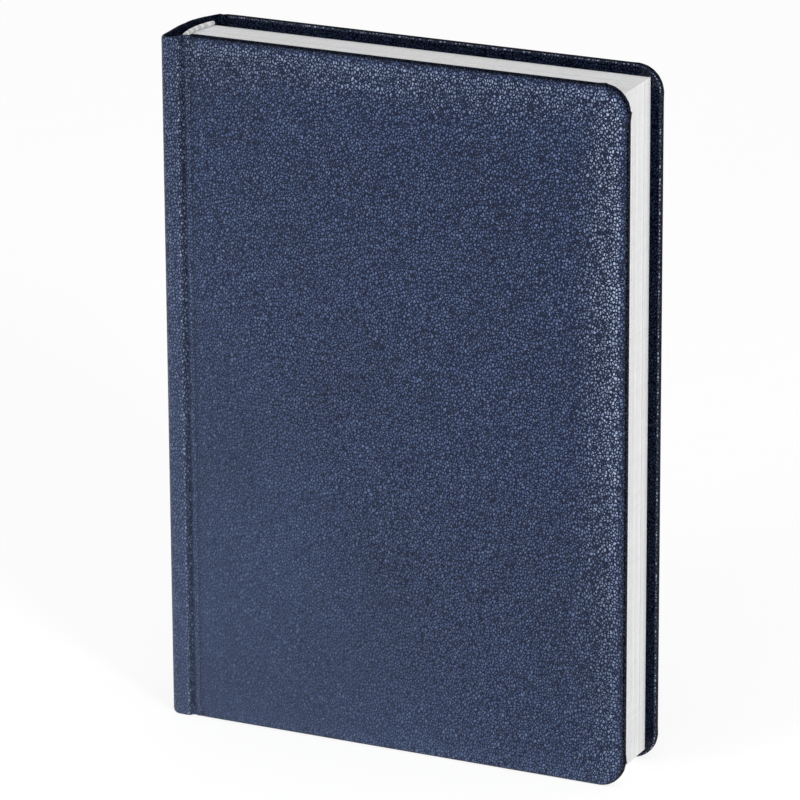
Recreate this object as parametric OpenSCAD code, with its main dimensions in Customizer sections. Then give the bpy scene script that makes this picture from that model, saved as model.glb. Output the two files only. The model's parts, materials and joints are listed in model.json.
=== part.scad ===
// Case-bound logbook, standing on its tail.
// +Z runs from tail to head, the spine is at -X and the front cover is at -Y.
// The origin is at the middle of the foot of the closed book.
// Each cover turns about a vertical line in the hollow of its shoulder, 2.5 mm in from the outside
// of the spine and level with the outside of the pastedown. Each section turns about its own fold.

/* [Book] */
// Height of the covers
cover_h = 214; // [180:1:260]
// Width of the closed book, from the spine to the fore-edge of the covers
book_w = 150; // [125:1:190]
// Thickness of the closed book
book_t = 29; // [24:0.5:36]
// How far the covers stand proud of the leaves at the head, tail and fore-edge
square_w = 3.3; // [2:0.1:5]

/* [Covers] */
// Thickness of the greyboard in each cover
board_t = 2.2; // [1.8:0.1:2.8]
// Thickness of the foam under the leatherette
foam_t = 0.7; // [0.5:0.1:1]
// Thickness of the leatherette on the outside
skin_t = 0.5; // [0.4:0.1:0.6]
// Thickness of the pared leatherette turned in over the edges
turn_in_t = 0.4; // [0.3:0.1:0.5]
// Width of the leatherette turned in over the edges
turn_in_w = 15; // [10:1:20]
// Radius of the two fore-edge corners of each cover
corner_r = 8; // [4:0.5:12]

/* [Spine and joints] */
// Distance from the outside of the spine to the inner edge of each board
joint_w = 11; // [10:0.5:13]
// Depth of the pressed groove beside each board
groove_d = 1.5; // [0.8:0.1:2]
// Thickness of the card that stiffens the spine
spine_card_t = 1.2; // [0.8:0.1:1.4]
// Radius of the rounded shoulder between the spine and each joint
shoulder_r = 4; // [3:0.1:4.5]
// Distance from the outside of the spine to the folds of the leaves
back_gap = 4; // [3.9:0.1:5]

/* [Leaves] */
// Thickness of each flyleaf and pastedown
paper_t = 0.2; // [0.15:0.05:0.25]

/* [Hidden] */
section_count = 16;

function section_name(i) = str("section_", i < 10 ? "0" : "", i);

// Colours
navy = [0.16, 0.20, 0.31];
dark_navy = [0.08, 0.10, 0.15];
greyboard = [0.55, 0.53, 0.50];
foam_white = [0.85, 0.85, 0.82];
paper_white = [0.93, 0.93, 0.93];
page_white = [0.90, 0.90, 0.90];
gauze = [0.86, 0.84, 0.76];
kraft = [0.66, 0.52, 0.36];
band_grey = [0.74, 0.74, 0.76];

// Layers of a cover, measured inwards from its outer face
cover_t = skin_t + foam_t + board_t + turn_in_t + paper_t;
spine_x = -book_w / 2;
fore_x = book_w / 2;
board_x = spine_x + joint_w;
outer_y = book_t / 2;
inner_y = outer_y - cover_t;

// The block of leaves
block_low = square_w;
block_high = cover_h - square_w;
block_fore = fore_x - square_w;
block_back = spine_x + back_gap;
leaf_gap = 0.05;
flyleaf_y = inner_y - leaf_gap - paper_t;
section_t = 2 * (flyleaf_y - leaf_gap) / section_count;
fold_r = 0.35 * section_t;
pinch_len = 2.9 * section_t;
pivot_x = block_back + fold_r;

// Joint profile
joint_outer_y = outer_y - 0.2;
board_lip = 0.5;
spine_lip = 0.3;
arc_steps = 8;
groove_steps = 12;

// Spine panel and what is glued to the back of the leaves
spine_half = joint_outer_y - shoulder_r - spine_lip;
spine_end_t = skin_t + spine_card_t + turn_in_t;
thread_r = 0.15;
fold_gap = 0.1;
thread_x = block_back - fold_gap - thread_r;
thread_pitch = 34;
thread_count = 5;
mull_t = 0.3;
mull_x = thread_x - thread_r;
mull_half = inner_y + paper_t + mull_t;
liner_t = 0.4;
mull_margin = 20;
mull_flap_end = board_x + 20;

// Headband
band_r = 0.9;
band_half = flyleaf_y;
band_tape_h = 14;

// How far a cut runs past the face that it opens
cut = 1;

// Points of the joint's outer line, from the spine panel round the shoulder to the board
function shoulder_points() = [
    for (k = [0:arc_steps])
        let (a = 90 * k / arc_steps)
        [spine_x + shoulder_r * (1 - cos(a)), joint_outer_y - shoulder_r * (1 - sin(a))]
];
function groove_points() = [
    for (k = [1:groove_steps])
        let (u = k / groove_steps, low = spine_x + shoulder_r, high = board_x - board_lip)
        [low + (high - low) * u, joint_outer_y - groove_d * (1 - cos(360 * u)) / 2]
];
function joint_line() = concat(
    [[spine_x, spine_half]],
    shoulder_points(),
    groove_points(),
    [[board_x, joint_outer_y]]
);

// A line moved sideways by d, away from the outside of the book
function side_step(p, q, d) = let (v = q - p) d * [v.y, -v.x] / norm(v);
function inset_line(line, d) = [
    for (k = [0:len(line) - 1])
        line[k] + side_step(line[max(k - 1, 0)], line[min(k + 1, len(line) - 1)], d)
];
function reversed(line) = [for (k = [len(line) - 1:-1:0]) line[k]];

// A band that lies from d0 to d1 under a line
module band(line, d0, d1) {
    polygon(concat(inset_line(line, d0), reversed(inset_line(line, d1))));
}

// Children are drawn for the back cover, side 1, and mirrored for the front cover, side -1
module on_side(side) {
    if (side < 0)
        mirror([0, 1, 0])
            children();
    else
        children();
}

// A box given by its low and high corners
module block(low, high) {
    translate(low)
        cube(high - low);
}

// Outline of a cover in X and Z, drawn in by margin, with rounded fore-edge corners
module cover_outline(margin) {
    r = corner_r - margin;
    top = cover_h - margin;
    fore = fore_x - margin;
    union() {
        translate([board_x, margin])
            square([fore - r - board_x, top - margin]);
        translate([fore - r, margin + r])
            square([r, top - margin - 2 * r]);
        for (z = [margin + r, top - r])
            translate([fore - r, z])
                circle(r, $fn = 64);
    }
}

// A flat layer of a cover, from y = low to y = high
module cover_layer(margin, low, high) {
    translate([0, high, 0])
        rotate([90, 0, 0])
            linear_extrude(high - low)
                cover_outline(margin);
}

// Cover pieces

module cover_board(side) {
    color(greyboard)
        on_side(side)
            cover_layer(skin_t, inner_y + paper_t + turn_in_t, inner_y + paper_t + turn_in_t + board_t);
}

module cover_foam(side) {
    color(foam_white)
        on_side(side)
            cover_layer(skin_t, outer_y - skin_t - foam_t, outer_y - skin_t);
}

module cover_skin(side) {
    color(navy)
        on_side(side)
            difference() {
                cover_layer(0, inner_y + paper_t, outer_y);
                cover_layer(skin_t, inner_y + paper_t + turn_in_t, outer_y - skin_t);
                block(
                    [board_x - cut, inner_y, turn_in_w],
                    [fore_x - turn_in_w, inner_y + paper_t + turn_in_t + cut, cover_h - turn_in_w]
                );
            }
}

// The sheet over the turned-in edges, with a raised middle that fills the space between them
module cover_pastedown(side) {
    sheet_fore = fore_x - square_w;
    infill_fore = fore_x - turn_in_w;
    color(paper_white)
        on_side(side)
            difference() {
                union() {
                    block([board_x, inner_y, block_low], [sheet_fore, inner_y + paper_t, block_high]);
                    block(
                        [board_x, inner_y + paper_t, turn_in_w],
                        [infill_fore, inner_y + paper_t + turn_in_t, cover_h - turn_in_w]
                    );
                }
                block(
                    [board_x - cut, inner_y + paper_t, mull_margin],
                    [mull_flap_end, inner_y + paper_t + turn_in_t + cut, cover_h - mull_margin]
                );
            }
}

// Pieces of the flexing joint

module joint_skin(side) {
    color(navy)
        on_side(side) {
            linear_extrude(cover_h)
                band(joint_line(), 0, skin_t);
            for (z = [0, cover_h - turn_in_w])
                translate([0, 0, z])
                    linear_extrude(turn_in_w)
                        band(joint_line(), skin_t, skin_t + turn_in_t);
        }
}

module endpaper_joint(side) {
    color(paper_white)
        on_side(side)
            block([block_back, inner_y, block_low], [board_x, inner_y + paper_t, block_high]);
}

module mull_flap(side) {
    color(gauze)
        on_side(side)
            block(
                [mull_x, inner_y + paper_t, mull_margin],
                [mull_flap_end, inner_y + paper_t + mull_t, cover_h - mull_margin]
            );
}

// Spine pieces

module spine_skin() {
    color(navy)
        difference() {
            block([spine_x, -spine_half, 0], [spine_x + spine_end_t, spine_half, cover_h]);
            block(
                [spine_x + skin_t, -spine_half - cut, skin_t],
                [spine_x + skin_t + spine_card_t, spine_half + cut, cover_h - skin_t]
            );
            block(
                [spine_x + skin_t, -spine_half - cut, turn_in_w],
                [spine_x + spine_end_t + cut, spine_half + cut, cover_h - turn_in_w]
            );
        }
}

module spine_card() {
    color(greyboard)
        block(
            [spine_x + skin_t, -spine_half, skin_t],
            [spine_x + skin_t + spine_card_t, spine_half, cover_h - skin_t]
        );
}

module spine_mull() {
    color(gauze)
        block([mull_x - mull_t, -mull_half, mull_margin], [mull_x, mull_half, cover_h - mull_margin]);
}

module spine_liner() {
    liner_x = mull_x - mull_t;
    color(kraft)
        block([liner_x - liner_t, -band_half, mull_margin], [liner_x, band_half, cover_h - mull_margin]);
}

// A corded band on the end of the leaves, with its tape down their back; end is 1 at the head
module end_band(end) {
    mid = cover_h / 2;
    lift = block_high - mid + leaf_gap;
    color(band_grey)
        translate([0, 0, mid])
            rotate([end < 0 ? 180 : 0, 0, 0]) {
                translate([mull_x + band_r, 0, lift + band_r])
                    rotate([90, 0, 0])
                        cylinder(h = 2 * band_half, r = band_r, center = true, $fn = 32);
                block(
                    [mull_x, -band_half, lift + band_r - band_tape_h],
                    [mull_x + 2 * thread_r, band_half, lift + band_r]
                );
            }
}

// Threads that run across the folds of the sections at the sewing stations
module sewing_threads() {
    color(paper_white)
        for (k = [0:thread_count - 1])
            translate([thread_x, 0, cover_h / 2 + thread_pitch * (k - (thread_count - 1) / 2)])
                rotate([90, 0, 0])
                    cylinder(h = 2 * band_half, r = thread_r, center = true, $fn = 16);
}

// Leaves

module flyleaf(side) {
    color(paper_white)
        on_side(side)
            block([pivot_x, flyleaf_y, block_low], [block_fore, flyleaf_y + paper_t, block_high]);
}

// One sewn section: a rounded fold at the back, thinner there than at the fore-edge
module section_outline() {
    fold = [for (k = [0:arc_steps]) let (a = 90 + 180 * k / arc_steps) fold_r * [cos(a), sin(a)]];
    half = section_t / 2;
    fore = block_fore - pivot_x;
    polygon(concat(fold, [[pinch_len, -half], [fore, -half], [fore, half], [pinch_len, half]]));
}

module section(i) {
    y = section_t * (i - (section_count + 1) / 2);
    color(page_white)
        translate([pivot_x, y, block_low])
            linear_extrude(block_high - block_low)
                section_outline();
}

cover_board(-1);  // front_board
cover_foam(-1);  // front_foam
cover_skin(-1);  // front_skin
cover_pastedown(-1);  // front_pastedown
flyleaf(-1);  // front_flyleaf
joint_skin(-1);  // front_joint_skin
endpaper_joint(-1);  // front_endpaper_joint
mull_flap(-1);  // front_mull_flap
cover_board(1);  // back_board
cover_foam(1);  // back_foam
cover_skin(1);  // back_skin
cover_pastedown(1);  // back_pastedown
flyleaf(1);  // back_flyleaf
joint_skin(1);  // back_joint_skin
endpaper_joint(1);  // back_endpaper_joint
mull_flap(1);  // back_mull_flap
spine_skin();
spine_card();
spine_mull();
spine_liner();
end_band(1);  // headband
end_band(-1);  // tailband
sewing_threads();
for (i = [1:section_count]) {
    section(i);
}
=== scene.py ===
"""A portrait casebound logbook that stands on its tail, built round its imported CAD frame.

+Z runs from tail to head, the spine is at -X, and the front cover is at -Y. Lengths are in metres.
Shapes are worked out for the back half, where y is positive, and mirrored for the front half.
"""

import json
import math

import bmesh
import bpy
import numpy as np
from mathutils import Matrix, Vector

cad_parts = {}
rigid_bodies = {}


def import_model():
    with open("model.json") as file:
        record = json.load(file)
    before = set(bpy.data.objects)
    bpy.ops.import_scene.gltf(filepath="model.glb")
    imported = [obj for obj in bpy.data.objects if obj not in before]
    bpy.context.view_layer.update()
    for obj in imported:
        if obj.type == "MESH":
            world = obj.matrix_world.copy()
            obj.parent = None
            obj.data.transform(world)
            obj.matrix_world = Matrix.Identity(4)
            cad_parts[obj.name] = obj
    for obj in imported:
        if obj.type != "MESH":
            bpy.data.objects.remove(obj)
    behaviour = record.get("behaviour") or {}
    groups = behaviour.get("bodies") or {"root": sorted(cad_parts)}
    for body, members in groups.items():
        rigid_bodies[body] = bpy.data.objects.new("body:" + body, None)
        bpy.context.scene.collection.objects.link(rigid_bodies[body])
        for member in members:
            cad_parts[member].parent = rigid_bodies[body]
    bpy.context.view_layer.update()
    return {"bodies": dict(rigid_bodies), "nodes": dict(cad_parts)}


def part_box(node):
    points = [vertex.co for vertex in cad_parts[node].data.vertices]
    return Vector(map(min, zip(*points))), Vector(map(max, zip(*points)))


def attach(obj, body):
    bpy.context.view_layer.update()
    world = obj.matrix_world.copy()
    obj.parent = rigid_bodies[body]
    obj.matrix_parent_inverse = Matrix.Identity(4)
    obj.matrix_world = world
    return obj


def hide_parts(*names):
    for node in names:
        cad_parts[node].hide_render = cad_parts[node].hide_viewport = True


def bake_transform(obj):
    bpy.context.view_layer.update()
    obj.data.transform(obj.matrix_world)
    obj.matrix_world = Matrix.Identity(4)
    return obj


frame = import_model()

MM = 0.001
SIDES = {"front": -1, "back": 1}


# ---------------------------------------------------------------- measures from the frame

def ends(node):
    """Lowest and highest corner of a CAD node as arrays."""
    low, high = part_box(node)
    return np.array(low), np.array(high)


BOARD_X, TURN_Y = ends("back_skin")[0][:2]
FORE_X, OUTER_Y, HEIGHT = ends("back_skin")[1]
BOARD_Y = ends("back_foam")[0][1]
SPINE_X = ends("spine_skin")[0][0]
SPINE_Y = ends("spine_skin")[1][1]
ENDPAPER_LOW, ENDPAPER_HIGH = ends("back_pastedown")
JOINT_LOW, JOINT_HIGH = ends("back_endpaper_joint")
MULL_LOW, MULL_HIGH = ends("back_mull_flap")
LEAF_LOW, LEAF_HIGH = ends("back_flyleaf")
FOLD_X = ends("section_08")[0][0]
SECTION_T = ends("section_09")[1][1] - ends("section_09")[0][1]
PIVOT_X = LEAF_LOW[0]
PAGES_Y = ends("section_16")[1][1]
TURN_IN = 15 * MM
CORNER_R = 8 * MM
BACK_ROUND = 2 * MM


# ---------------------------------------------------------------- mesh helpers

def smoothstep(low, high, value):
    t = np.clip((value - low) / (high - low), 0, 1)
    return t * t * (3 - 2 * t)


def bell(value, centre, width):
    """One at the centre, falling away smoothly to nought on both sides."""
    return np.exp(-(((value - centre) / width) ** 2))


def mesh_object(name, points, faces, kinds=None):
    """A smooth-shaded mesh object; kinds gives each face's material number."""
    mesh = bpy.data.meshes.new(name)
    mesh.from_pydata([tuple(p) for p in points], [], [tuple(int(i) for i in f) for f in faces])
    mesh.polygons.foreach_set("use_smooth", [True] * len(mesh.polygons))
    if kinds is not None:
        mesh.polygons.foreach_set("material_index", kinds)
    obj = bpy.data.objects.new(name, mesh)
    bpy.context.scene.collection.objects.link(obj)
    return obj


def store_rest(obj):
    """Stores each point's place at rest, which the materials read, so no grain slides as it bends."""
    mesh = obj.data
    places = np.empty(len(mesh.vertices) * 3, np.float32)
    mesh.vertices.foreach_get("co", places)
    rest = mesh.attributes.get("rest") or mesh.attributes.new("rest", "FLOAT_VECTOR", "POINT")
    rest.data.foreach_set("vector", places)


def clean(obj, crease=50):
    """Joins doubled points, faces outwards and keeps edges steeper than crease degrees sharp."""
    bm = bmesh.new()
    bm.from_mesh(obj.data)
    bmesh.ops.remove_doubles(bm, verts=bm.verts, dist=1e-6)
    bmesh.ops.recalc_face_normals(bm, faces=bm.faces)
    for edge in bm.edges:
        edge.smooth = len(edge.link_faces) != 2 or edge.calc_face_angle(0) < math.radians(crease)
    bm.to_mesh(obj.data)
    bm.free()
    store_rest(obj)
    return obj


def grid_faces(rows, columns, start=0, wrap=False):
    """Quads over points stored row by row; wrap joins the last column to the first."""
    faces = []
    for i in range(rows - 1):
        for j in range(columns if wrap else columns - 1):
            k = (j + 1) % columns
            faces.append((start + i * columns + j, start + i * columns + k,
                          start + (i + 1) * columns + k, start + (i + 1) * columns + j))
    return faces


def mirrored(points, side):
    return np.asarray(points) * np.array([1, side, 1])


def swept(name, loops, side=1):
    """A closed solid through closed loops that all have the same number of points."""
    rows, columns = len(loops), len(loops[0])
    faces = grid_faces(rows, columns, wrap=True)
    faces.append(range(columns))
    faces.append(range((rows - 1) * columns, rows * columns))
    return clean(mesh_object(name, mirrored(np.concatenate(loops), side), faces))


def slab(name, xs, zs, near, far, side=1):
    """A thin closed sheet over a grid in x and z, between the heights near(x, z) and far(x, z)."""
    x, z = np.meshgrid(xs, zs)
    layers = [np.stack([x, level(x, z) + 0 * x, z], axis=2).reshape(-1, 3) for level in (near, far)]
    rows, columns, count = len(zs), len(xs), x.size
    faces = grid_faces(rows, columns) + grid_faces(rows, columns, start=count)
    index = np.arange(count).reshape(rows, columns)
    rim = [*index[0], *index[1:, -1], *index[-1, -2::-1], *index[-2:0:-1, 0]]
    faces += [(a, b, b + count, a + count) for a, b in zip(rim, rim[1:] + rim[:1])]
    return clean(mesh_object(name, mirrored(np.concatenate(layers), side), faces))


def line_normals(line):
    """Unit normals of a line in the plane, on its left side."""
    tangent = np.gradient(line, axis=0)
    tangent /= np.linalg.norm(tangent, axis=1)[:, None]
    return np.stack([-tangent[:, 1], tangent[:, 0]], axis=1)


def standing_sheets(name, sheets, side=1):
    """Closed sheets that stand on edge: each has a line in x and y, a thickness, and a low and high z.

    Their broad faces get the first material and their edges the second."""
    points, faces, kinds = [], [], []
    for line, thickness, low, high in sheets:
        step = line_normals(line) * thickness / 2
        start, count = sum(len(p) for p in points), len(line)
        corners = [(line + step, low), (line + step, high), (line - step, high), (line - step, low)]
        rows = [np.column_stack([flat, np.full(count, z)]) for flat, z in corners]
        points.append(np.stack(rows, axis=1).reshape(-1, 3))
        faces += grid_faces(count, 4, start, wrap=True)
        kinds += [0, 1, 0, 1] * (count - 1)
        faces += [range(start, start + 4), range(start + 4 * count - 4, start + 4 * count)]
        kinds += [1, 1]
    return clean(mesh_object(name, mirrored(np.concatenate(points), side), faces, kinds))


def settle(obj):
    """Applies an object's modifiers to its mesh."""
    graph = bpy.context.evaluated_depsgraph_get()
    made = bpy.data.meshes.new_from_object(obj.evaluated_get(graph))
    obj.modifiers.clear()
    obj.data = made
    store_rest(obj)
    return obj


def dress(obj, slot, *materials, nodes=()):
    """Gives a piece its materials, falling back on the one named by slot, and hides the CAD nodes that it
    stands for.
    """
    for material in materials or (slot,):
        obj.data.materials.append(MATERIALS[material])
    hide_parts(*nodes)
    return obj


# ---------------------------------------------------------------- material helpers

class Nodes:
    """A short way to write a material's node tree."""

    def __init__(self, name, own_place=False):
        self.material = bpy.data.materials.new(name)
        self.material.use_nodes = True
        self.tree = self.material.node_tree
        self.shader = self.tree.nodes["Principled BSDF"]
        self.place = self.object_place() if own_place else self.rest_place()

    def add(self, kind, inputs=None, **settings):
        node = self.tree.nodes.new(kind)
        for key, value in settings.items():
            setattr(node, key, value)
        for key, value in (inputs or {}).items():
            self.put(node.inputs[key], value)
        return node

    def put(self, socket, value):
        if isinstance(value, bpy.types.NodeSocket):
            self.tree.links.new(value, socket)
        else:
            socket.default_value = value

    def surface(self, **inputs):
        for key, value in inputs.items():
            self.put(self.shader.inputs[key.replace("_", " ")], value)
        return self.material

    def rest_place(self):
        return self.add("ShaderNodeAttribute", attribute_name="rest").outputs["Vector"]

    def object_place(self):
        return self.add("ShaderNodeTexCoord").outputs["Object"]

    def share(self, name):
        """A number stored at each point, such as a share from 0 to 1."""
        return self.add("ShaderNodeAttribute", attribute_name=name).outputs["Fac"]

    def noise(self, scale, detail=2.0, roughness=0.5, stretch=(1, 1, 1), output="Fac"):
        scaled = self.vector("MULTIPLY", self.place, stretch)
        inputs = {"Vector": scaled, "Scale": scale, "Detail": detail, "Roughness": roughness}
        return self.add("ShaderNodeTexNoise", inputs).outputs[output]

    def vector(self, operation, a, b):
        second = "Scale" if operation == "SCALE" else 1
        return self.add("ShaderNodeVectorMath", {0: a, second: b}, operation=operation).outputs[0]

    def math(self, operation, a, b=0.0):
        return self.add("ShaderNodeMath", {0: a, 1: b}, operation=operation).outputs[0]

    def sum(self, *terms):
        """Sum of (value, weight) pairs."""
        total = self.math("MULTIPLY", *terms[0])
        for value, weight in terms[1:]:
            total = self.math("ADD", total, self.math("MULTIPLY", value, weight))
        return total

    def between(self, value, low, high, start=0.0, end=1.0):
        inputs = {"Value": value, "From Min": low, "From Max": high, "To Min": start, "To Max": end}
        return self.add("ShaderNodeMapRange", inputs, interpolation_type="SMOOTHSTEP").outputs["Result"]

    def axis(self, name):
        return self.add("ShaderNodeSeparateXYZ", {0: self.place}).outputs[name]

    def lines(self, name, pitch, width, offset=0.0):
        """One on thin lines a pitch apart along an axis, and nought between them."""
        along = self.math("ADD", self.axis(name), offset)
        away = self.math("PINGPONG", along, pitch / 2)
        return self.between(away, width / 2, width, 1.0, 0.0)

    def mix(self, share, a, b):
        node = self.add("ShaderNodeMix", data_type="RGBA")
        for socket, value in zip((0, 6, 7), (share, a, b)):
            self.put(node.inputs[socket], value)
        return node.outputs[2]

    def bump(self, height, depth):
        inputs = {"Height": height, "Strength": 1.0, "Distance": depth}
        return self.add("ShaderNodeBump", inputs).outputs["Normal"]


# ---------------------------------------------------------------- materials

GRAIN_SCALE = 1240
GRAIN_STRETCH = (1, 1, 0.75)
GRAIN_DRIFT = 0.8 * MM
GRAIN_BUMP = 0.24 * MM
# Crease colour: partly the grain's own darker tone and partly painted shade in the creases.
CREASE_TONE_AND_SHADE = (0.0012, 0.0045, 0.0220, 1)
DULL_PEBBLE = (0.0350, 0.0590, 0.1330, 1)
BRIGHT_PEBBLE = (0.0640, 0.0960, 0.1880, 1)
# Painted highlight: the colour of glinting pebble tops.
PAINTED_GLINT_PEBBLE = (0.29, 0.34, 0.45, 1)
# Painted shade: the share of the colour that is left on the rolled edges and turn-ins.
RIM_SHADE = (0.1, 0.1, 0.1)


def grain_and_light_by_place(n):
    """How strong the grain is and how light the leather is painted: weakest and darkest at the spine's tail,
    and stronger and lighter towards head and fore-edge, as painted light.
    """
    return n.math("ADD", n.sum((n.axis("X"), 4.7), (n.axis("Z"), 3.3)), 0.8)


def pebble_cells(n):
    """Distance from the nearest crease, and the outputs that tell the pebbles apart."""
    drift = n.vector("SUBTRACT", n.noise(900, 2.0, output="Color"), (0.5, 0.5, 0.5))
    moved = n.vector("ADD", n.vector("SCALE", drift, GRAIN_DRIFT), n.place)
    cells = {"Vector": n.vector("MULTIPLY", moved, GRAIN_STRETCH), "Scale": GRAIN_SCALE, "Randomness": 0.9}
    edge = n.add("ShaderNodeTexVoronoi", cells, feature="DISTANCE_TO_EDGE").outputs["Distance"]
    return edge, n.add("ShaderNodeTexVoronoi", cells, feature="F1").outputs


def leatherette(name, sheen):
    """Navy leatherette: small pebbles of uneven tone between dark creases, whose darkness is partly the
    grain's own tone and partly painted shade.

    A point's rim share darkens it as painted shade, and its glint share lightens the tops of the pebbles as
    a painted highlight."""
    n = Nodes(name)
    edge, pebbles = pebble_cells(n)
    depth = grain_and_light_by_place(n)
    crease = n.between(edge, 0.0, 0.26)
    tooth, swell = n.noise(5200), n.noise(420, 2.0)
    height = n.sum((crease, 0.9), (pebbles["Distance"], -1.0), (tooth, 0.15), (swell, 1.0))
    tone = n.math("SUBTRACT", n.between(pebbles["Color"], 0.25, 0.8), 0.5)
    tone = n.math("ADD", n.math("MULTIPLY", tone, depth), 0.5)
    crest = n.math("MULTIPLY", n.between(edge, 0.1, 0.3), n.between(tone, 0.0, 1.0, 0.45, 1.0))
    top = n.mix(tone, DULL_PEBBLE, BRIGHT_PEBBLE)
    # Painted highlight: pebble tops are lightened where the glint share is high.
    top = n.mix(n.math("MULTIPLY", n.share("painted_glint"), crest), top, PAINTED_GLINT_PEBBLE)
    # Creases darkened partly as the grain's own tone and partly as painted shade, more towards head and
    # fore-edge.
    dark = n.math("MULTIPLY", n.between(edge, 0.02, 0.2, 1.0, 0.0), depth)
    broad = n.between(n.noise(24, 3.0), 0.3, 0.7, 0.93, 1.07)
    # Painted light: the leather is painted lighter towards head and fore-edge, times a random broad tone.
    level = n.math("MULTIPLY", broad, n.math("ADD", n.math("MULTIPLY", depth, 0.48), 0.53))
    colour = n.vector("SCALE", n.mix(dark, top, CREASE_TONE_AND_SHADE), level)
    # Painted shade on the rolled edges, turn-ins and groove, by the points' rim share.
    rim = n.math("MULTIPLY", n.share("rim"), 0.85)
    colour = n.mix(rim, colour, n.vector("MULTIPLY", colour, RIM_SHADE))
    rough = n.between(crease, 0.0, 1.0, 0.6, 0.27)
    normal = n.bump(n.math("MULTIPLY", height, depth), GRAIN_BUMP)
    return n.surface(Base_Color=colour, Roughness=rough, Normal=normal, Specular_IOR_Level=sheen)


def paper(name, light, shade, tooth):
    """Uncoated paper: a faint cloudy formation and a fine tooth."""
    n = Nodes(name)
    colour = n.mix(n.between(n.noise(260, 4.0, 0.6), 0.35, 0.65), shade, light)
    normal = n.bump(n.noise(3400), tooth)
    return n.surface(Base_Color=colour, Roughness=0.8, Normal=normal, Specular_IOR_Level=0.25)


ROW_PITCH = 7 * MM
COLUMN_PITCH = 15.5 * MM
RULE_W = 0.16 * MM
RULE_END = 0.1 * MM
TABLE = {"X": (-50.6 * MM, 66 * MM), "Z": (11.9 * MM, 199.4 * MM)}


def ruled_page():
    """A page with a plain printed table: even rows, and columns of equal width."""
    n = Nodes("ruled_page")
    cloud = n.between(n.noise(260, 4.0, 0.6), 0.35, 0.65)
    sheet = n.mix(cloud, (0.590, 0.590, 0.575, 1), (0.620, 0.620, 0.608, 1))
    rows = n.lines("Z", ROW_PITCH, RULE_W, 2 * MM)
    columns = n.lines("X", COLUMN_PITCH, RULE_W, 4 * MM)
    ink = n.math("MULTIPLY", n.math("MAXIMUM", rows, columns), n.between(n.noise(900), 0.2, 0.6, 0.5, 0.8))
    for axis, (low, high) in TABLE.items():
        ink = n.math("MULTIPLY", ink, n.between(n.axis(axis), low, low + RULE_END))
        ink = n.math("MULTIPLY", ink, n.between(n.axis(axis), high, high + RULE_END, 1.0, 0.0))
    colour = n.mix(ink, sheet, (0.10, 0.15, 0.24, 1))
    normal = n.bump(n.noise(3400), 0.02 * MM)
    return n.surface(Base_Color=colour, Roughness=0.8, Normal=normal, Specular_IOR_Level=0.25)


def leaf_edge():
    """Trimmed edges of the leaves: knife marks across them and a slight difference from leaf to leaf."""
    n = Nodes("leaf_edge")
    leaf = n.noise(26, 2.0, stretch=(1, 240, 1))
    knife = n.noise(900, 2.0, stretch=(1, 0.05, 1))
    shade = n.sum((leaf, 0.65), (knife, 0.35))
    colour = n.mix(n.between(shade, 0.3, 0.7), (0.84, 0.84, 0.86, 1), (0.94, 0.94, 0.95, 1))
    normal = n.bump(knife, 0.03 * MM)
    return n.surface(Base_Color=colour, Roughness=0.8, Normal=normal, Specular_IOR_Level=0.25)


def greyboard(name, own_place):
    """Grey bookbinder's board: pressed pulp with pale and dark fibres."""
    n = Nodes(name, own_place)
    fibre = n.noise(520, 4.0, 0.65, stretch=(1, 1, 0.35))
    speck = n.between(n.noise(1400, 1.0), 0.66, 0.72)
    ground = n.mix(n.between(fibre, 0.35, 0.65), (0.20, 0.19, 0.17, 1), (0.31, 0.29, 0.26, 1))
    colour = n.mix(speck, ground, (0.10, 0.09, 0.08, 1))
    return n.surface(Base_Color=colour, Roughness=0.9, Normal=n.bump(fibre, 0.1 * MM))


def kraft():
    """Brown kraft paper with faint machine ribs."""
    n = Nodes("kraft", own_place=True)
    fibre = n.noise(700, 3.0, 0.6, stretch=(1, 1, 0.2))
    ribs = n.lines("Z", 0.8 * MM, 0.2 * MM)
    colour = n.mix(n.between(fibre, 0.3, 0.7), (0.30, 0.19, 0.10, 1), (0.42, 0.28, 0.16, 1))
    height = n.sum((fibre, 0.6), (ribs, 0.4))
    return n.surface(Base_Color=colour, Roughness=0.8, Normal=n.bump(height, 0.04 * MM))


def linen_thread():
    """Waxed linen thread with a twist."""
    n = Nodes("linen_thread", own_place=True)
    twist = n.noise(2600, 2.0, stretch=(1, 0.6, 1))
    colour = n.mix(n.between(twist, 0.3, 0.7), (0.60, 0.56, 0.47, 1), (0.80, 0.77, 0.69, 1))
    return n.surface(Base_Color=colour, Roughness=0.55, Normal=n.bump(twist, 0.05 * MM))


def gauze():
    """Open-weave mull stiffened with size."""
    n = Nodes("gauze")
    across = n.lines("Z", 0.9 * MM, 0.28 * MM)
    along = n.math("MAXIMUM", n.lines("X", 0.9 * MM, 0.28 * MM), n.lines("Y", 0.9 * MM, 0.28 * MM))
    weave = n.math("MAXIMUM", across, along)
    shade = n.sum((weave, 0.8), (n.noise(600), 0.4))
    colour = n.mix(n.between(shade, 0.1, 1.0), (0.50, 0.47, 0.40, 1), (0.84, 0.82, 0.75, 1))
    return n.surface(Base_Color=colour, Roughness=0.85, Normal=n.bump(weave, 0.12 * MM))


def foam():
    """Thin closed-cell foam."""
    n = Nodes("foam")
    cells = n.add("ShaderNodeTexVoronoi", {"Vector": n.place, "Scale": 2400}).outputs["Distance"]
    colour = n.mix(n.between(cells, 0.1, 0.6), (0.62, 0.62, 0.60, 1), (0.80, 0.80, 0.78, 1))
    return n.surface(Base_Color=colour, Roughness=0.85, Normal=n.bump(cells, 0.08 * MM))


BAND_STRIPE = 1.5 * MM


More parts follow.
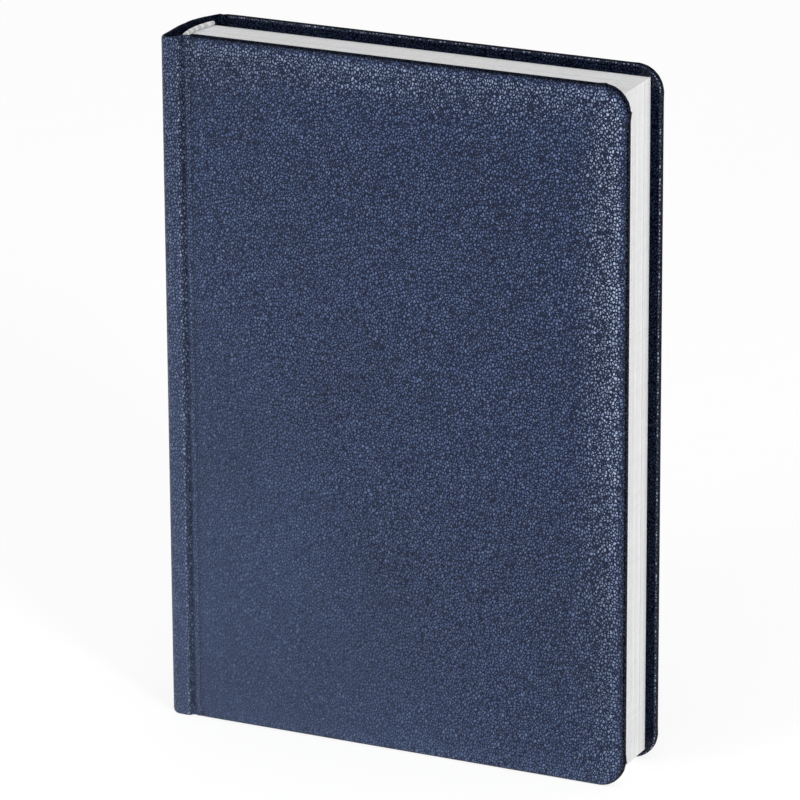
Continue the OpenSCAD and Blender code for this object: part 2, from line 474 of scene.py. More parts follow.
def band_thread():
    """Silky headband thread in pale and grey stripes, with a strand along each wrap."""
    n = Nodes("band_thread")
    away = n.math("PINGPONG", n.math("ADD", n.axis("Y"), 3 * BAND_STRIPE / 4), BAND_STRIPE)
    stripe = n.between(away, BAND_STRIPE * 0.42, BAND_STRIPE * 0.58)
    strand = n.noise(1500, 2.0, stretch=(1, 3, 1))
    pale = n.mix(strand, (0.66, 0.66, 0.66, 1), (0.86, 0.86, 0.85, 1))
    grey = n.mix(strand, (0.46, 0.46, 0.47, 1), (0.62, 0.62, 0.63, 1))
    colour = n.mix(stripe, pale, grey)
    return n.surface(Base_Color=colour, Roughness=0.45, Normal=n.bump(strand, 0.04 * MM))


def band_cloth():
    """Woven cotton tape of a headband."""
    n = Nodes("band_cloth")
    weave = n.math("MAXIMUM", n.lines("Z", 0.4 * MM, 0.14 * MM), n.lines("Y", 0.4 * MM, 0.14 * MM))
    colour = n.mix(n.sum((weave, 0.6), (n.noise(900), 0.5)), (0.55, 0.54, 0.51, 1), (0.80, 0.79, 0.76, 1))
    return n.surface(Base_Color=colour, Roughness=0.8, Normal=n.bump(weave, 0.06 * MM))


MATERIALS = {
    "leatherette": leatherette("leatherette", 0.24),
    # A shaded copy of the leatherette with almost no sheen, so that the turn-ins look as if in shade.
    "turn_in_shaded_leather": leatherette("turn_in_shaded_leather", 0.02),
    "pages": ruled_page(),
    "leaf_edge": leaf_edge(),
    "endpaper": paper("endpaper", (0.61, 0.61, 0.60, 1), (0.58, 0.58, 0.573, 1), 0.03 * MM),
    "greyboard": greyboard("greyboard", own_place=True),
    "board_rest": greyboard("board_rest", own_place=False),
    "kraft": kraft(),
    "thread": linen_thread(),
    "mull": gauze(),
    "foam": foam(),
    "end_band": band_thread(),
    "band_cloth": band_cloth(),
}


# ---------------------------------------------------------------- the case's outline

SAG = 0.3 * MM
SHOULDERS = {"front": (4.0 * MM, 4.2 * MM), "back": (7.2 * MM, 10.5 * MM)}
STRIP_DROP = 0.25 * MM
GROOVE_X = SPINE_X + 8.3 * MM
GROOVE_D = 1.1 * MM
GROOVE_NEAR = 0.8 * MM
GROOVE_FAR = 1.0 * MM
CROWN = 0.8 * MM
CROWN_W = 9 * MM
CROWN_POWER = 2.2
OUTER_ROLL = 1.4 * MM
INNER_ROLL = 0.8 * MM
SPINE_ROLL = 0.95 * MM
LEATHER_T = 0.3 * MM


def outer_level(x):
    """Height of the case's outer face over the middle plane, from the shoulder to the fore-edge."""
    rise = smoothstep(GROOVE_X, BOARD_X + 3 * MM, x)
    width = np.where(x < GROOVE_X, GROOVE_NEAR, GROOVE_FAR)
    return OUTER_Y - STRIP_DROP * (1 - rise) - GROOVE_D * bell(x, GROOVE_X, width)


def crown_drop(deep):
    """How far the padded face falls towards its rim, at a distance deep from the rim."""
    return CROWN * np.clip(1 - deep / CROWN_W, 0, 1) ** CROWN_POWER


def case_line(half):
    """Outer line of the case in x and y: half the spine, the shoulder, and the joint up to the board.

    The back shoulder is the slacker of the two. Both halves are worked out where y is positive."""
    width, depth = SHOULDERS[half]
    near_x = SPINE_X + SAG
    top = OUTER_Y - STRIP_DROP
    spine_y = np.linspace(0, top - depth, 14)[:-1]
    spine_x = SPINE_X + SAG * (1 - np.cos(math.pi * spine_y / (top - depth))) / 2
    turn = np.linspace(0, math.pi / 2, 26)
    turn_x = near_x + width * (1 - np.cos(turn))
    turn_y = outer_level(turn_x) - depth * (1 - np.sin(turn))
    strip_x = np.linspace(near_x + width, BOARD_X, 32)[1:]
    parts = [(spine_x, spine_y), (turn_x, turn_y), (strip_x, outer_level(strip_x))]
    return np.concatenate([np.column_stack(part) for part in parts])


def case_normals(line):
    """Normals of the case's line that point into the book."""
    inward = -line_normals(line)
    inward[0] = (1, 0)
    inward[-1] = (0, -1)
    return inward


def hem_loop(total, roll, board):
    """Loop across a hemmed strip as (depth, z) pairs, down the inside and up the outside.

    total is its thickness at head and tail, roll its outer radius there, and board the share of the
    padded face's crown that it takes."""
    inner = min(INNER_ROLL, 0.45 * total)
    turn = np.linspace(0, math.pi / 2, 7)
    rim = board * crown_drop(roll)
    outside = [(board * crown_drop(d), HEIGHT - d) for d in np.linspace(TURN_IN, roll, 9)[:-1]]
    outer = [(rim + roll * (1 - math.cos(a)), HEIGHT - roll * (1 - math.sin(a))) for a in turn]
    back = [(total - inner * (1 - math.sin(a)), HEIGHT - inner * (1 - math.cos(a))) for a in turn]
    cut = [(total, HEIGHT - TURN_IN), (2 * LEATHER_T, HEIGHT - TURN_IN - LEATHER_T)]
    head = [*outside, *outer, *back, *cut]
    tail = [(d, HEIGHT - z) for d, z in reversed(head)]
    return np.array(head + [(2 * LEATHER_T, HEIGHT / 2)] + tail + [(0.0, HEIGHT / 2)])


SPINE_EDGE = 1.9 * MM
JOINT_EDGE = 1.0 * MM
HEAD_DIP = 1.3 * MM


def hem_sections(line, inward):
    """Loops of the hemmed leather along part of the case's line."""
    loops = []
    for (x, y), (nx, ny) in zip(line, inward):
        spine = 1 - smoothstep(SPINE_X + 0.6 * MM, SPINE_X + 3.0 * MM, x)
        board = smoothstep(BOARD_X - 3.2 * MM, BOARD_X, x)
        thin = JOINT_EDGE + (SPINE_EDGE - JOINT_EDGE) * spine
        total = thin + (outer_level(BOARD_X) - TURN_Y - thin) * board
        roll = min(SPINE_ROLL + (OUTER_ROLL - SPINE_ROLL) * board, 0.52 * total)
        loop = hem_loop(total, roll, board)
        dip = HEAD_DIP * (1 - smoothstep(SPINE_X + 2 * MM, BOARD_X - 0.2 * MM, x))
        loop[:, 1] -= dip * smoothstep(HEIGHT / 2, HEIGHT - TURN_IN, loop[:, 1])
        loops.append(np.column_stack([x + nx * loop[:, 0], y + ny * loop[:, 0], loop[:, 1]]))
    return loops


LEATHER = ("leatherette", "turn_in_shaded_leather")
# Painted shade: faces whose rim share passes the first number take the shaded turn-in material, and the next
# two give the facing over which the rims of the spine, joints and covers are painted darker.
TURNED_IN = 0.98
BACK_RIM_SHADE = (0.2, 0.75)
COVER_RIM_SHADE = (0.6, 0.992)
# Painted highlights of glinting pebbles on the spine and joints, stronger on the ridge beside the groove.
BACK_GLINT = 0.15
RIDGE_GLINT = 0.45
RIDGE = 0.9 * MM
# Painted shade along the bottom of the groove: how dark it is and how wide.
GROOVE_SHADE = 0.7
GROOVE_SHADE_WIDTH = 0.45 * MM
# More painted highlights: on the covers' faces near the fore-edge and head, and in a line along their inner
# roll.
GLINT_REACH = (1 * MM, 18 * MM)
GLINT_EDGE_FADE = (1.2 * MM, 2.8 * MM)
HEAD_GLINT = 0.55
TAIL_GLINT = 0.3
ROLL_FACING = -0.66
ROLL_SPREAD = 0.15
ROLL_GLINT = 1.5


def store_share(obj, name, values):
    """Stores a number at each point, for the materials to read."""
    attribute = obj.data.attributes.new(name, "FLOAT", "POINT")
    attribute.data.foreach_set("value", np.asarray(values, np.float32))


def places_and_normals(mesh):
    count = len(mesh.vertices)
    places, normals = np.empty(count * 3), np.empty(count * 3)
    mesh.vertices.foreach_get("co", places)
    mesh.vertices.foreach_get("normal", normals)
    return places.reshape(-1, 3), normals.reshape(-1, 3)


def mark_rim_shade(obj, rim):
    """Stores how far each point lies on an edge or a turn-in, where the leather is painted darker as painted
    shade, and gives full turn-ins their shaded copy of the material.
    """
    store_share(obj, "rim", rim)
    for polygon in obj.data.polygons:
        polygon.material_index = int(rim[list(polygon.vertices)].min() > TURNED_IN)


def mark_back(obj):
    """Marks the painted shade on the rim and along the groove, and the painted highlight of glinting
    pebbles, on the leather of the spine or a joint.
    """
    places, normals = places_and_normals(obj.data)
    facing = (normals * away_from_pages(places)).sum(axis=1)
    # Painted shade on the parts that don't face outwards: the hems' edges and insides.
    rim = 1 - smoothstep(*BACK_RIM_SHADE, facing)
    # Painted shade along the groove.
    line = GROOVE_SHADE * bell(places[:, 0], GROOVE_X, GROOVE_SHADE_WIDTH)
    ridge_glint = bell(places[:, 0], GROOVE_X - RIDGE, RIDGE)
    mark_rim_shade(obj, np.maximum(rim, line))
    # Painted highlight of glinting pebbles, stronger on the ridge beside the groove.
    store_share(obj, "painted_glint", (BACK_GLINT + RIDGE_GLINT * ridge_glint) * (1 - rim))


def painted_face_glint(x, z):
    """Painted highlight of glinting pebbles on a cover's face, at its fore-edge and head, weaker towards the
    tail.
    """
    upward = TAIL_GLINT + (1 - TAIL_GLINT) * smoothstep(0, 0.7 * HEIGHT, z)
    fore = (1 - smoothstep(*GLINT_REACH, FORE_X - x)) * upward
    head = HEAD_GLINT * (1 - smoothstep(*GLINT_REACH, HEIGHT - z))
    return np.maximum(fore, head) * smoothstep(*GLINT_EDGE_FADE, edge_distance(x, z))


def painted_roll_glint(x, z, facing):
    """Painted highlight line on the inner side of a cover's rolled edge, away from the seam with the joint.
    """
    return bell(facing, ROLL_FACING, ROLL_SPREAD) * (edge_distance(x, z) < 2 * MM) * (x > BOARD_X + 1 * MM)


def mark_cover(obj, side):
    """Marks a cover's painted rim shade and its painted highlights; its seam with the joint has no rim
    shade.
    """
    places, normals = places_and_normals(obj.data)
    x, y, z = places.T
    facing = normals[:, 1] * side
    on_face = (np.abs(y) > OUTER_Y - 1 * MM) & (np.abs(z - HEIGHT / 2) < HEIGHT / 2 - 1.2 * OUTER_ROLL)
    seam = on_face & (x < BOARD_X + 0.1 * MM)
    # Painted shade on the rolled edge and the turn-in, but none on the seam with the joint.
    rim = np.where(seam, 0, 1 - smoothstep(*COVER_RIM_SHADE, facing))
    roll_glint_share = painted_roll_glint(x, z, facing)
    mark_rim_shade(obj, rim * (1 - roll_glint_share))
    # Painted highlights on the face near the fore-edge and head, and along the inner roll, which also lift
    # the painted shade there.
    store_share(obj, "painted_glint", np.maximum(painted_face_glint(x, z) * (1 - rim), ROLL_GLINT * roll_glint_share))


def away_from_pages(points):
    """Unit vectors from inside the page block's back out to each point of the spine or a joint."""
    away = (points - (SPINE_X + 9 * MM, 0, 0)) * (1, 0.5, 0)
    return away / np.linalg.norm(away, axis=1)[:, None]


CARD_DEEP = 1.05 * MM
CARD_T = 1.0 * MM
CARD_HALF = 8.6 * MM


def spine_card(halves):
    """The card inside the spine's leather, bent to the spine's own curve, which comes in two halves."""
    line = np.concatenate(halves)
    line = line[np.abs(line[:, 1]) < CARD_HALF]
    inside = line - line_normals(line) * CARD_DEEP
    low, high = ends("spine_card")
    card = standing_sheets("spine_card_board", [(inside, CARD_T, low[2], high[2] - HEAD_DIP)])
    dress(card, "greyboard", "board_rest", "board_rest", nodes=["spine_card"])
    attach(card, "root")


def build_case_back():
    """The spine's leather and card, and the leather joints between the spine and the covers."""
    loops, halves = {}, {}
    for half, side in SIDES.items():
        line = case_line(half)
        inward = case_normals(line)
        seam = int(np.argmax(line[:, 1] > SPINE_Y))
        loops[half] = [mirrored(loop, side) for loop in hem_sections(line[:seam + 1], inward[:seam + 1])]
        halves[half] = line[:seam + 1] * (1, side)
        joint = swept(f"{half}_joint_leather", hem_sections(line[seam:], inward[seam:]), side)
        mark_back(joint)
        dress(joint, "leatherette", *LEATHER, nodes=[f"{half}_joint_skin"])
        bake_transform(joint)
    spine = swept("spine_leather", loops["front"][::-1] + loops["back"][1:])
    mark_back(spine)
    dress(spine, "leatherette", *LEATHER, nodes=["spine_skin"])
    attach(spine, "root")
    spine_card([halves["front"][::-1], halves["back"][1:]])


# ---------------------------------------------------------------- covers

RING = 16 * MM
RING_R = 3 * MM
STRAIGHT = 2 * MM
TAIL_POINTS = 60
ARC_POINTS = 49
SIDE_POINTS = 79
PLEATS = 6
CORNER_FOLD = {"front": 0.45 * MM, "back": 0.12 * MM}
FACE_PLEAT = 0.05 * MM
ROLL_PLEAT = 0.12 * MM
TURN_PLEAT = 0.2 * MM


def edge_path(deep, radius):
    """Points along the cover's tail, fore-edge and head, drawn in by deep, as x and z."""
    fore, low, high = FORE_X - deep, deep, HEIGHT - deep
    run = np.linspace(BOARD_X, fore - radius, TAIL_POINTS + 1)[:-1]
    rise = np.linspace(low + radius, high - radius, SIDE_POINTS + 2)[1:-1]
    arc = np.linspace(0, math.pi / 2, ARC_POINTS)
    tail = np.column_stack([run, np.full(len(run), low)])
    tail_arc = np.column_stack([fore - radius + radius * np.sin(arc), low + radius - radius * np.cos(arc)])
    side = np.column_stack([np.full(len(rise), fore), rise])
    turn = np.array([1, -1])
    head_arc = (tail_arc * turn)[::-1] + (0, HEIGHT)
    head = (tail * turn)[::-1] + (0, HEIGHT)
    return np.concatenate([tail, tail_arc, side, head_arc, head])


def corner_waves():
    """Pleats round the two corners, and the small folds where the corners end, along the edge path."""
    share = np.full(2 * (TAIL_POINTS + ARC_POINTS) + SIDE_POINTS, -1.0)
    arc = np.linspace(0, 1, ARC_POINTS)
    share[TAIL_POINTS:TAIL_POINTS + ARC_POINTS] = arc
    share[-TAIL_POINTS - ARC_POINTS:-TAIL_POINTS] = arc[::-1]
    fade = np.sin(math.pi * np.clip(share, 0, 1)) ** 0.5
    pleats = np.cos(2 * math.pi * PLEATS * share) * fade
    folds = bell(share, 0.985, 0.025)
    head = np.arange(len(share)) > len(share) // 2
    folds += 0.6 * head * bell(share, 0.02, 0.03)
    return pleats, folds


def edge_distance(x, z):
    """Distance from the cover's rounded outline, for points inside it."""
    past_x = x - (FORE_X - CORNER_R)
    past_z = np.abs(z - HEIGHT / 2) - (HEIGHT / 2 - CORNER_R)
    outside = np.hypot(np.maximum(past_x, 0), np.maximum(past_z, 0))
    return CORNER_R - outside - np.minimum(np.maximum(past_x, past_z), 0)


def cover_level(x, z):
    """Height of a cover's outer face over the middle plane."""
    soft = np.sin(x * 61 + 1.3) * np.sin(z * 47 + 0.4) + 0.6 * np.sin(x * 118 + z * 73)
    inside = smoothstep(2 * MM, 30 * MM, edge_distance(x, z)) * smoothstep(0, 30 * MM, x - BOARD_X)
    return outer_level(x) - crown_drop(edge_distance(x, z)) - 0.05 * MM * (1 + soft) * inside


def patch(edge):
    """Grid of x and z inside a ring of the edge path, as a Coons patch between its four sides."""
    half = TAIL_POINTS + ARC_POINTS // 2
    tail, head = edge[:half + 1], edge[-half - 1:][::-1]
    fore = edge[half:len(edge) - half]
    inner = np.linspace(edge[0], edge[-1], len(fore))
    u = np.linspace(0, 1, len(tail))[None, :, None]
    v = np.linspace(0, 1, len(fore))[:, None, None]
    across = (1 - v) * tail[None] + v * head[None]
    along = (1 - u) * inner[:, None] + u * fore[:, None]
    corners = (1 - v) * ((1 - u) * tail[0] + u * tail[-1]) + v * ((1 - u) * head[0] + u * head[-1])
    return across + along - corners


class CoverEdge:
    """Rings round a cover's three free edges, at any distance in from its outline."""

    def __init__(self, half):
        self.fold = CORNER_FOLD[half]
        self.outline = edge_path(0.0, CORNER_R)
        self.inner = edge_path(RING, RING_R)
        self.inward = line_normals(self.outline)
        self.inward[0], self.inward[-1] = (0, 1), (0, -1)
        self.pleats, self.folds = corner_waves()

    def flat(self, deep, fold=0.0):
        """The ring seen flat; fold is the share of the corner folds that it takes."""
        if deep <= STRAIGHT:
            return self.outline + self.inward * (deep - fold * self.fold * self.folds)[:, None]
        start = self.outline + self.inward * STRAIGHT
        return start + (self.inner - start) * (deep - STRAIGHT) / (RING - STRAIGHT)

    def ring(self, deep, level, pleat=0.0, fold=0.0):
        """Points of one ring; level is a height or a function of x and z."""
        flat = self.flat(deep, fold)
        y = level(flat[:, 0], flat[:, 1]) if callable(level) else level
        return np.column_stack([flat[:, 0], y - pleat * self.pleats, flat[:, 1]])


def leather_rings(edge):
    """Rings of a cover's leather: the crowned face, the rolled edge, and the turn-in inside."""
    rim = edge.ring(OUTER_ROLL, cover_level)[:, 1]
    rings = []
    for deep in np.linspace(RING, OUTER_ROLL, 18):
        rings.append(edge.ring(deep, cover_level, FACE_PLEAT * max(0, 1 - deep / (5 * MM))))
    for a in np.linspace(0, math.pi / 2, 8)[1:]:
        y = rim - OUTER_ROLL * (1 - math.cos(a))
        rings.append(edge.ring(OUTER_ROLL * (1 - math.sin(a)), y, FACE_PLEAT, math.sin(a)))
    for a in np.linspace(0, math.pi / 2, 7):
        y = TURN_Y + INNER_ROLL * (1 - math.sin(a))
        rings.append(edge.ring(INNER_ROLL * (1 - math.cos(a)), y, -ROLL_PLEAT * math.sin(a), math.cos(a)))
    for deep in (1.4, 2.0, 3.0, 4.5, 6.5, 9.0, 12.0, 15.0):
        rings.append(edge.ring(deep * MM, TURN_Y, -TURN_PLEAT * max(0, 1 - deep / 12)))
    return rings


def ring_and_patch(name, rings, level, side):
    """Mesh of a stack of rings and of the patch that closes the first one."""
    middle = patch(rings[0][:, [0, 2]])
    x, z = middle[..., 0], middle[..., 1]
    centre = np.stack([x, level(x, z), z], axis=2)
    points = np.concatenate([*rings, centre.reshape(-1, 3)])
    faces = grid_faces(len(rings), len(rings[0]))
    faces += grid_faces(centre.shape[0], centre.shape[1], start=len(rings) * len(rings[0]))
    return mesh_object(name, mirrored(points, side), faces)


def cover_leather(name, edge, side):
    """A cover's leather, turned in over the board, with painted highlights of glinting pebbles at the
    fore-edge and head.
    """
    obj = clean(ring_and_patch(name, leather_rings(edge), cover_level, side))
    outer = sum(p.normal.y * p.area for p in obj.data.polygons if abs(p.center.y) > OUTER_Y - 1 * MM)
    if outer * side < 0:
        obj.data.flip_normals()
    skin = obj.modifiers.new("thickness", "SOLIDIFY")
    skin.thickness, skin.offset = LEATHER_T, -1
    obj = settle(obj)
    mark_cover(obj, side)
    return obj


PAD_EDGE = 1.9 * MM
PAD_GAP = 0.4 * MM


def pad_place(x, z):
    """Draws the square corners of a grid in to the pad's rounded ones."""
    corner_x, corner_z = FORE_X - CORNER_R, HEIGHT / 2 - CORNER_R
    past_x = np.maximum(x - corner_x, 0)
    past_z = np.maximum(np.abs(z - HEIGHT / 2) - corner_z, 0)
    reach = np.maximum(np.hypot(past_x, past_z), 1e-9)
    shrink = np.where(np.minimum(past_x, past_z) > 0, np.maximum(past_x, past_z) / reach, 1.0)
    new_x = np.where(past_x > 0, corner_x + past_x * shrink, x)
    from_middle = np.sign(z - HEIGHT / 2) * (corner_z + past_z * shrink)
    return new_x, np.where(past_z > 0, HEIGHT / 2 + from_middle, z)


def pad_top(x, z):
    return np.maximum(cover_level(*pad_place(x, z)) - PAD_GAP, BOARD_Y + 0.05 * MM)


def foam_pad(name, side):
    """The foam under the leather: flat on the board, domed on top, thin at its edges."""
    near_x = BOARD_X + 0.5 * MM
    xs = np.concatenate([[near_x], np.linspace(BOARD_X + 2 * MM, FORE_X - 14 * MM, 24),
                         np.linspace(FORE_X - 12 * MM, FORE_X - PAD_EDGE, 10)])
    ends_z = np.linspace(PAD_EDGE, 14 * MM, 10)
    zs = np.concatenate([ends_z, np.linspace(18 * MM, HEIGHT - 18 * MM, 30), HEIGHT - ends_z[::-1]])
    obj = slab(name, xs, zs, lambda x, z: BOARD_Y, pad_top, side)
    for vertex in obj.data.vertices:
        x, z = pad_place(np.array(vertex.co.x), np.array(vertex.co.z))
        vertex.co.x, vertex.co.z = float(x), float(z)
    store_rest(obj)
    return obj


SUNK = 0.2 * MM
EMBOSS = np.linspace(-1.5, 1.5, 9) * MM


def sunk(x, z):
    """How far the endpaper lies deeper on the board than on the turned-in leather round it."""
    fore = smoothstep(EMBOSS[0], EMBOSS[-1], FORE_X - TURN_IN - x)
    ends_in = smoothstep(EMBOSS[0], EMBOSS[-1], HEIGHT / 2 - TURN_IN - np.abs(z - HEIGHT / 2))
    return SUNK * fore * ends_in * smoothstep(0.5 * MM, 5 * MM, x - BOARD_X)


def pastedown(name, side):
    """The endpaper glued inside a cover, sunk a little inside the turned-in leather."""
    low, high = ENDPAPER_LOW, ENDPAPER_HIGH
    near_edge = np.array([4, 0.3, 0]) * MM
    xs = np.concatenate([np.linspace(low[0], low[0] + 5 * MM, 8), np.linspace(-40 * MM, 40 * MM, 9),
                         FORE_X - TURN_IN + EMBOSS, high[0] - near_edge])
    end_z = np.concatenate([low[2] + near_edge[::-1], TURN_IN + EMBOSS])
    zs = np.concatenate([end_z, np.linspace(25 * MM, HEIGHT - 25 * MM, 12), HEIGHT - end_z[::-1]])
    return slab(name, xs, zs, lambda x, z: JOINT_LOW[1] + sunk(x, z),
                lambda x, z: JOINT_HIGH[1] + sunk(x, z), side)


def mull_flap(name, side):
    """Gauze from the spine to the board, under the endpaper and following it."""
    bending = np.linspace(MULL_LOW[0], BOARD_X + 5 * MM, 32)
    xs = np.concatenate([bending, np.linspace(-56 * MM, MULL_HIGH[0], 5)])
    zs = np.linspace(MULL_LOW[2], MULL_HIGH[2], 9)
    near = JOINT_HIGH[1] + 0.01 * MM
    far = near + 0.15 * MM
    return slab(name, xs, zs, lambda x, z: near + sunk(x, z), lambda x, z: far + sunk(x, z), side)


def build_covers():
    for half, side in SIDES.items():
        edge = CoverEdge(half)
        leather = cover_leather(f"{half}_cover_leather", edge, side)
        dress(leather, "leatherette", *LEATHER, nodes=[f"{half}_skin"])
        pad = foam_pad(f"{half}_foam_pad", side)
        dress(pad, "foam", nodes=[f"{half}_foam"])
        sheet = pastedown(f"{half}_pastedown_sheet", side)
        dress(sheet, "endpaper", nodes=[f"{half}_pastedown"])
        for piece in (leather, pad, sheet):
            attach(piece, f"{half}_cover")


# ---------------------------------------------------------------- endpapers, mull and end bands

def flat_slab(name, low, high, columns, rows, side=1):
    """A sheet of even thickness between two corners, with a fine enough grid to bend."""
    xs = np.linspace(low[0], high[0], columns)
    zs = np.linspace(low[2], high[2], rows)
    return slab(name, xs, zs, lambda x, z: low[1], lambda x, z: high[1], side)


def build_endpapers():
    """Endpaper joints and mull flaps between the spine and the covers, and the spine's own mull."""
    for half, side in SIDES.items():
        joint = flat_slab(f"{half}_endpaper_fold", JOINT_LOW, JOINT_HIGH, 15, 2, side)
        dress(joint, "endpaper", nodes=[f"{half}_endpaper_joint"])
        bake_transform(joint)
        flap = mull_flap(f"{half}_mull_gauze", side)
        dress(flap, "mull", nodes=[f"{half}_mull_flap"])
        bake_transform(flap)
    low, high = ends("spine_mull")
    middle = (low[0] + high[0]) / 2
    y = np.linspace(high[1], low[1], 20)
    line = np.column_stack([middle + rounding(y), y])
    gauze_sheet = standing_sheets("spine_mull_gauze", [(line, high[0] - low[0], low[2], high[2])])
    dress(gauze_sheet, "mull", "mull", "mull", nodes=["spine_mull"])
    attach(gauze_sheet, "root")


BAND_R = 0.75 * MM
BAND_SINK = 0.35 * MM
WRAP = 0.5 * MM
WRAP_SLANT = 0.35


def rounding(y):
    """How far the back of the page block draws in towards its two sides."""
    return BACK_ROUND * (y / PAGES_Y) ** 2


def band_cord(name, low, high, middle_z):
    """A cord wrapped in thread: each wrap is a slightly slanted bulge."""
    middle_x = high[0] - BAND_R
    around = np.linspace(0, 2 * math.pi, 17)[:-1]
    loops = []
    for y in np.arange(low[1], high[1] + WRAP / 12, WRAP / 6):
        wave = np.abs(np.cos(math.pi * (y / WRAP + WRAP_SLANT * np.sin(around))))
        end = math.sqrt(max(1e-3, min(1.0, (high[1] - abs(y)) / BAND_R * 2.2)))
        r = BAND_R * (0.84 + 0.16 * wave ** 0.6) * end
        x, z = middle_x + rounding(y) + r * np.cos(around), middle_z + r * np.sin(around)
        loops.append(np.column_stack([x, np.full(len(x), y), z]))
    return swept(name, loops)


def build_end_bands():
    for name in ("headband", "tailband"):
        low, high = ends(name)
        upper = name == "headband"
        middle_z = high[2] - BAND_R - BAND_SINK if upper else low[2] + BAND_R + BAND_SINK
        cord = band_cord(f"{name}_cord", low, high, middle_z)
        dress(cord, "end_band", nodes=[name])
        span = (low[2], middle_z) if upper else (middle_z, high[2])
        y = np.linspace(high[1], low[1], 12)
        line = np.column_stack([low[0] + 0.15 * MM + rounding(y), y])
        tape = standing_sheets(f"{name}_tape", [(line, 0.3 * MM, *span)])
        dress(tape, "end_band", "band_cloth", "band_cloth")
        for piece in (cord, tape):
            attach(piece, "root")


# ---------------------------------------------------------------- pages

SECTIONS = 16
SHEETS = 4
LEAF_GAP = 0.011 * MM
BEND = 20 * MM
TRIM = 0.12 * MM


def run_out(fore):
    """x places along a leaf from the pivot to the fore-edge, close together where it bends."""
    return np.concatenate([np.arange(PIVOT_X, PIVOT_X + BEND + 2 * MM, 1 * MM),
                           np.linspace(PIVOT_X + BEND + 8 * MM, fore, 8)])


def folded_line(middle_y, reach, fores):
    """Line of one folded sheet: in from the fore-edge, round the fold, and out again."""
    first, second = run_out(fores[0]), run_out(fores[1])
    centre_x = FOLD_X + SECTION_T / 2 + rounding(middle_y)
    turn = np.linspace(-math.pi / 2, -3 * math.pi / 2, 9)
    fold = np.column_stack([centre_x + reach * np.cos(turn), middle_y + reach * np.sin(turn)])
    first = first[first > centre_x + 0.2 * MM][::-1]
    second = second[second > centre_x + 0.2 * MM]
    inward = np.column_stack([first, np.full(len(first), middle_y - reach)])
    outward = np.column_stack([second, np.full(len(second), middle_y + reach)])
    return np.concatenate([inward, fold, outward])


def section_leaves(number, rng):
    """One section: folded sheets nested in each other, trimmed not quite alike."""
    node = f"section_{number:02d}"
    low, high = ends(node)
    middle_y = (low[1] + high[1]) / 2
    pitch = SECTION_T / 2 / SHEETS
    sheets = []
    for i in range(SHEETS):
        reach = (i + 0.5) * pitch
        fores = high[0] - rng.uniform(0, TRIM, 2)
        bottom, top = low[2] + rng.uniform(0, TRIM / 2), high[2] - rng.uniform(0, TRIM / 2)
        sheets.append((folded_line(middle_y, reach, fores), pitch - LEAF_GAP, bottom, top))
    return standing_sheets(f"{node}_leaves", sheets), node


def build_pages():
    rng = np.random.default_rng(11)
    for number in range(1, SECTIONS + 1):
        leaves, node = section_leaves(number, rng)
        dress(leaves, "pages", "pages", "leaf_edge", nodes=[node])
        if node in frame["bodies"]:
            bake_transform(leaves)
        else:
            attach(leaves, "root")
    middle_y, thickness = (LEAF_LOW[1] + LEAF_HIGH[1]) / 2, LEAF_HIGH[1] - LEAF_LOW[1]
    xs = run_out(LEAF_HIGH[0])
    line = np.column_stack([xs, np.full(len(xs), middle_y)])
    for half, side in SIDES.items():
        leaf = standing_sheets(f"{half}_flyleaf_sheet", [(line, thickness, LEAF_LOW[2], LEAF_HIGH[2])], side)
        dress(leaf, "endpaper", "endpaper", "leaf_edge", nodes=[f"{half}_flyleaf"])
        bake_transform(leaf)


# ---------------------------------------------------------------- CAD nodes that stay

def finish_cad_nodes():
    """Better materials for the hidden parts whose CAD shape is already right."""
    kept = {"front_board": "greyboard", "back_board": "greyboard",
            "spine_liner": "kraft", "sewing_threads": "thread"}
    for node, material in kept.items():
        slots = frame["nodes"][node].material_slots
        for slot in slots:
            slot.material = MATERIALS[material]


# ---------------------------------------------------------------- camera, light and floor

AZIMUTH, ELEVATION, ROLL = 25.3, 18.75, -0.31
DISTANCE = 1.746
CAMERA_SHIFT = (-2.9 * MM, -0.6 * MM)
LENS = 266
SENSOR_W = 36
CLIP_END = 30
# Each light's azimuth and elevation in degrees, distance and size in metres, and power in watts.
LIGHTS = {
    "key": (-25, 14, 1.6, 0.5, 6),
    "front_glint": (3, 4, 1.6, 0.22, 4),
    "side_glint": (52, 24, 1.5, 0.25, 8),
}
BRIGHT_SKY = (0, -0.6, 0.8)
SKY_RANGE = (-0.2, 0.9)
SKY_DIM, SKY_BRIGHT = 0.22, 0.8
FLOOR_HALF = 8.0
FLOOR_GLOW = 0.80


def direction(azimuth, elevation):
    """Unit vector towards a place; azimuth 0 is in front of the book and grows to its right."""
    a, e = math.radians(azimuth), math.radians(elevation)
    return Vector((math.sin(a) * math.cos(e), -math.cos(a) * math.cos(e), math.sin(e)))


def set_camera():
    back, roll = direction(AZIMUTH, ELEVATION), math.radians(ROLL)
    level = direction(AZIMUTH + 90, 0)
    upright = back.cross(level)
    right = level * math.cos(roll) + upright * math.sin(roll)
    up = upright * math.cos(roll) - level * math.sin(roll)
    place = Vector((0, 0, HEIGHT / 2)) + right * CAMERA_SHIFT[0] + up * CAMERA_SHIFT[1] + back * DISTANCE
    data = bpy.data.cameras.new("camera")
    data.sensor_width, data.lens, data.clip_end = SENSOR_W, LENS, CLIP_END
    camera = bpy.data.objects.new("camera", data)
    bpy.context.scene.collection.objects.link(camera)
    camera.matrix_world = Matrix.Translation(place) @ Matrix((right, up, back)).transposed().to_4x4()
    bpy.context.scene.camera = camera


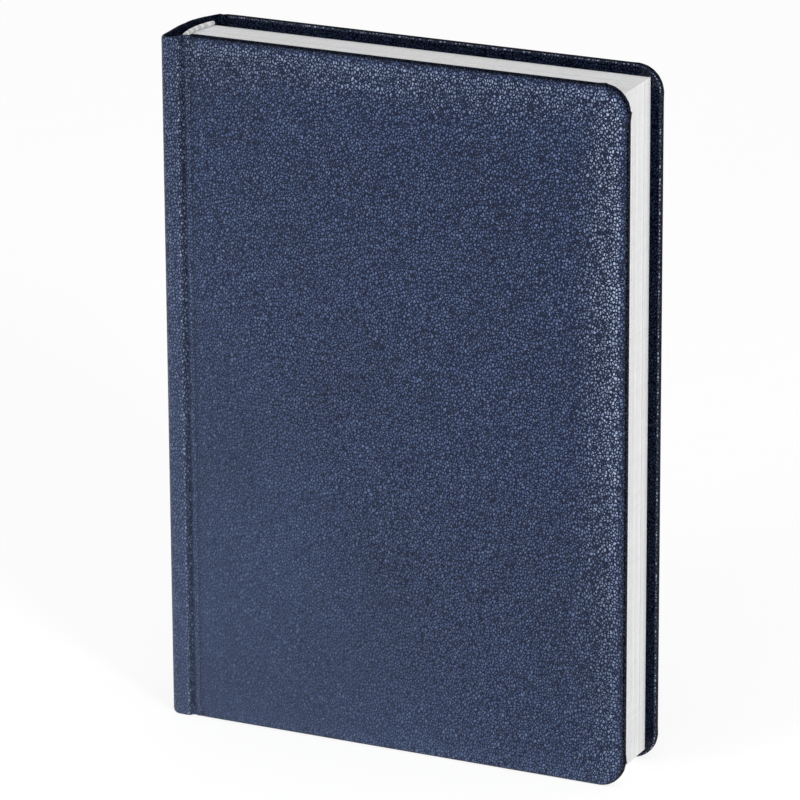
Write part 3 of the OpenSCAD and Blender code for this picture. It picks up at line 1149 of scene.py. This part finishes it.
def soft_light(name, azimuth, elevation, distance, size, power):
    data = bpy.data.lights.new(name, "AREA")
    data.shape, data.size, data.energy = "DISK", size, power
    light = bpy.data.objects.new(name, data)
    bpy.context.scene.collection.objects.link(light)
    middle = Vector((0, 0, HEIGHT / 2))
    light.location = middle + direction(azimuth, elevation) * distance
    light.rotation_euler = direction(azimuth, elevation).to_track_quat("Z", "Y").to_euler()


def set_world():
    """Pale surroundings, dimmer behind the book than in front of it."""
    world = bpy.data.worlds.new("studio")
    bpy.context.scene.world = world
    world.use_nodes = True
    tree = world.node_tree
    place = tree.nodes.new("ShaderNodeTexCoord")
    facing = tree.nodes.new("ShaderNodeVectorMath")
    facing.operation = "DOT_PRODUCT"
    facing.inputs[1].default_value = BRIGHT_SKY
    ramp = tree.nodes.new("ShaderNodeMapRange")
    ramp.inputs["From Min"].default_value, ramp.inputs["From Max"].default_value = SKY_RANGE
    ramp.inputs["To Min"].default_value, ramp.inputs["To Max"].default_value = SKY_DIM, SKY_BRIGHT
    tree.links.new(place.outputs["Generated"], facing.inputs[0])
    tree.links.new(facing.outputs["Value"], ramp.inputs["Value"])
    tree.links.new(ramp.outputs["Result"], tree.nodes["Background"].inputs["Strength"])
    tree.nodes["Background"].inputs["Color"].default_value = (1, 1, 1, 1)


def set_floor():
    half = FLOOR_HALF
    corners = [(-half, -half, 0), (half, -half, 0), (half, half, 0), (-half, half, 0)]
    floor = mesh_object("floor", corners, [(0, 1, 2, 3)])
    n = Nodes("floor", own_place=True)
    pale = n.mix(n.noise(40, 3.0), (0.25, 0.25, 0.25, 1), (0.26, 0.26, 0.26, 1))
    floor.data.materials.append(n.surface(
        Base_Color=pale, Roughness=0.9, Specular_IOR_Level=0.0,
        Emission_Color=(1, 1, 1, 1), Emission_Strength=FLOOR_GLOW))


set_camera()
build_covers()
build_case_back()
build_endpapers()
build_end_bands()
build_pages()
finish_cad_nodes()
set_world()
set_floor()
for light_name, placing in LIGHTS.items():
    soft_light(light_name, *placing)
bpy.context.scene.view_settings.view_transform = "Standard"
